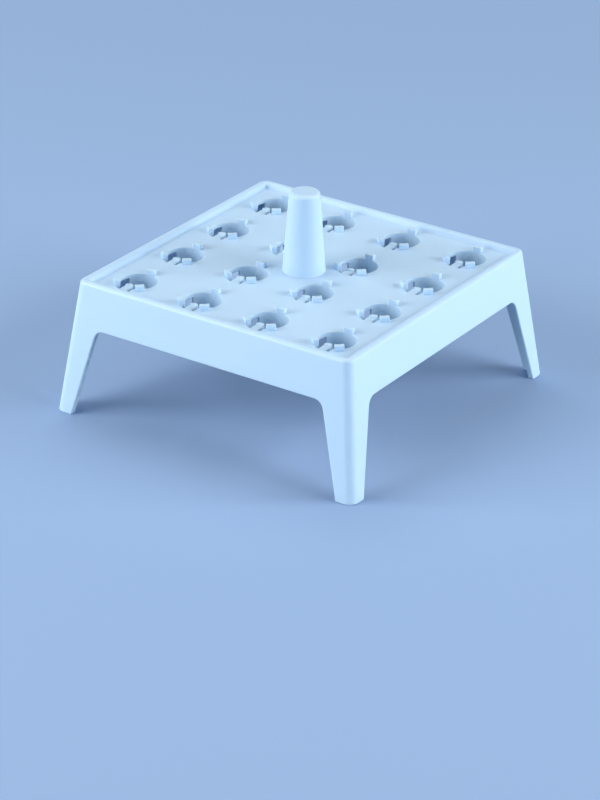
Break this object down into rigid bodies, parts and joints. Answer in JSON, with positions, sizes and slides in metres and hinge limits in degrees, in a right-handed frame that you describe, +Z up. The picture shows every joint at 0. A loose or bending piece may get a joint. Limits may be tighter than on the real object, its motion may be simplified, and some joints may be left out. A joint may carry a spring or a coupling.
{
  "type": "microcentrifuge tube rack",
  "caption": "Square one-piece tube rack on corner legs, with a grid of finger-sprung wells in a recessed deck and a tapered handle post.",
  "frame": {"origin": "on the bench, below the centre of the rack", "axes": "+Z up along the handle post; each well's spring finger is on its -Y side; X and Y along the sides of the square"},
  "size_m": [0.1, 0.1, 0.0615],
  "materials": {
    "tube_rack": "satin moulded polypropylene"
  },
  "bodies": {
    "root": {"tube_rack": "tube_rack"}
  },
  "joints": []
}
